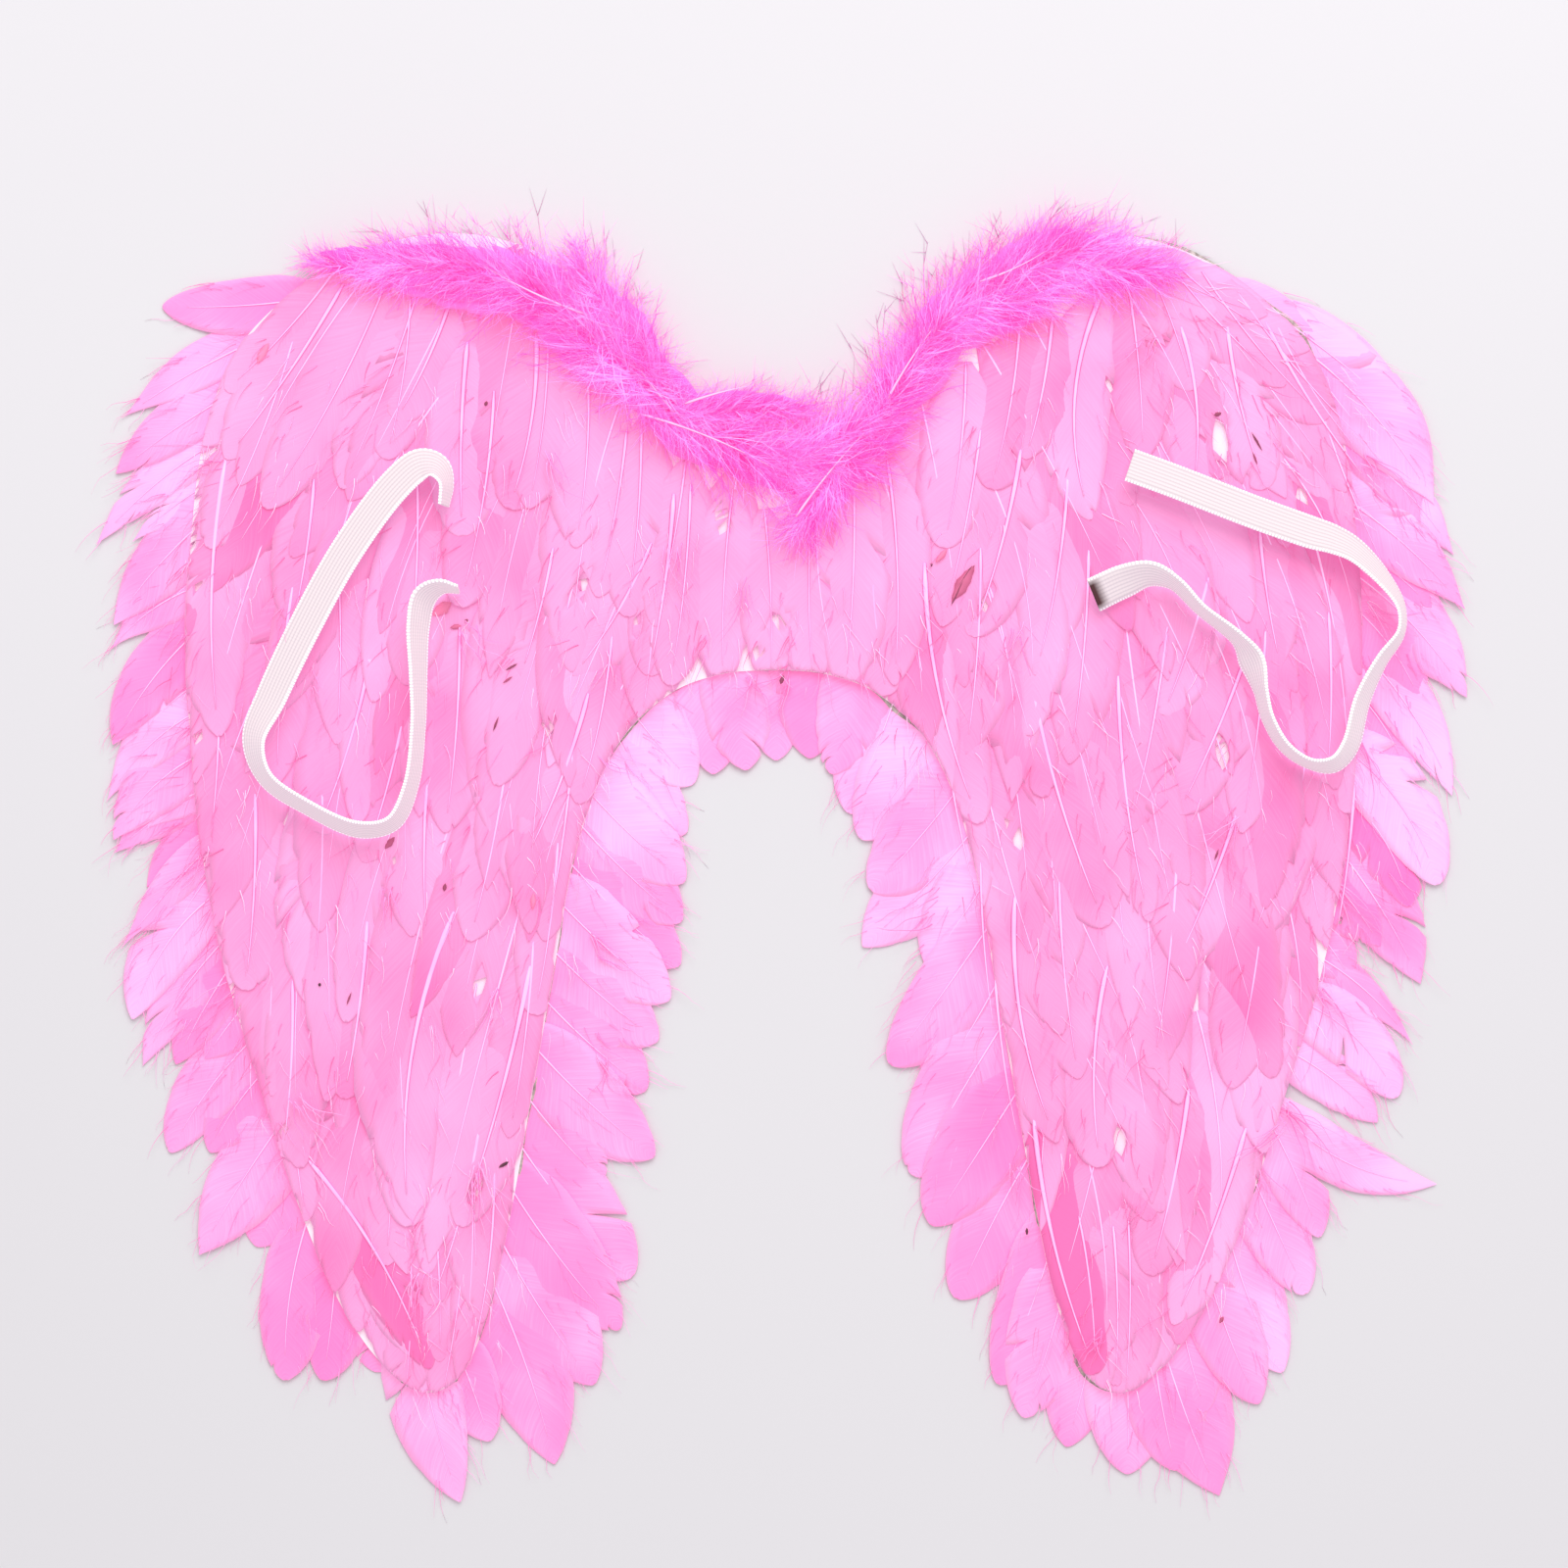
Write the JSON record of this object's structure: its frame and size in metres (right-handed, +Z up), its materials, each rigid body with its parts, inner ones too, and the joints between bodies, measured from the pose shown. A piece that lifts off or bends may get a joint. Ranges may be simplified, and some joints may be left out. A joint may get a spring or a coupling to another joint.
{
  "type": "feather angel wings",
  "caption": "Pink feather costume wings on a wired white cloth sheet, with a marabou trim along the top edge and two elastic shoulder straps, lying flat.",
  "frame": {"origin": "middle of the footprint, on the surface that the wings lie on", "axes": "+X to the right wing as it lies, +Y to the tops of the wings, +Z up through the strap side"},
  "size_m": [0.5972, 0.5678, 0.0271],
  "materials": {
    "felt_sheet": "white bonded non-woven sheet, matt",
    "wire_tape": "grey tape wound round a steel wire",
    "rim_feather": "pale pink dyed goose feather",
    "front_feather": "pink dyed goose feather",
    "marabou_down": "deep pink dyed marabou down",
    "elastic_webbing": "white ribbed woven elastic, edges serrated"
  },
  "bodies": {
    "root": {"wing_panel": "felt_sheet", "edge_wire": "wire_tape", "rim_feathers_left_shoulder": "rim_feather", "rim_feathers_left_side": "rim_feather", "rim_feathers_left_tip": "rim_feather", "rim_feathers_left_inner": "rim_feather", "rim_feathers_right_shoulder": "rim_feather", "rim_feathers_right_side": "rim_feather", "rim_feathers_right_tip": "rim_feather", "rim_feathers_right_inner": "rim_feather", "rim_feathers_arch": "rim_feather", "front_row_left_1": "front_feather", "front_row_left_2": "front_feather", "front_row_left_3": "front_feather", "front_row_left_4": "front_feather", "front_row_left_5": "front_feather", "front_row_left_6": "front_feather", "front_row_left_7": "front_feather", "front_row_left_8": "front_feather", "front_row_left_9": "front_feather", "front_row_right_1": "front_feather", "front_row_right_2": "front_feather", "front_row_right_3": "front_feather", "front_row_right_4": "front_feather", "front_row_right_5": "front_feather", "front_row_right_6": "front_feather", "front_row_right_7": "front_feather", "front_row_right_8": "front_feather", "front_row_right_9": "front_feather", "marabou_trim_left": "marabou_down", "marabou_trim_right": "marabou_down", "marabou_trim_neck": "marabou_down", "strap_left": "elastic_webbing", "strap_right": "elastic_webbing"}
  },
  "joints": []
}
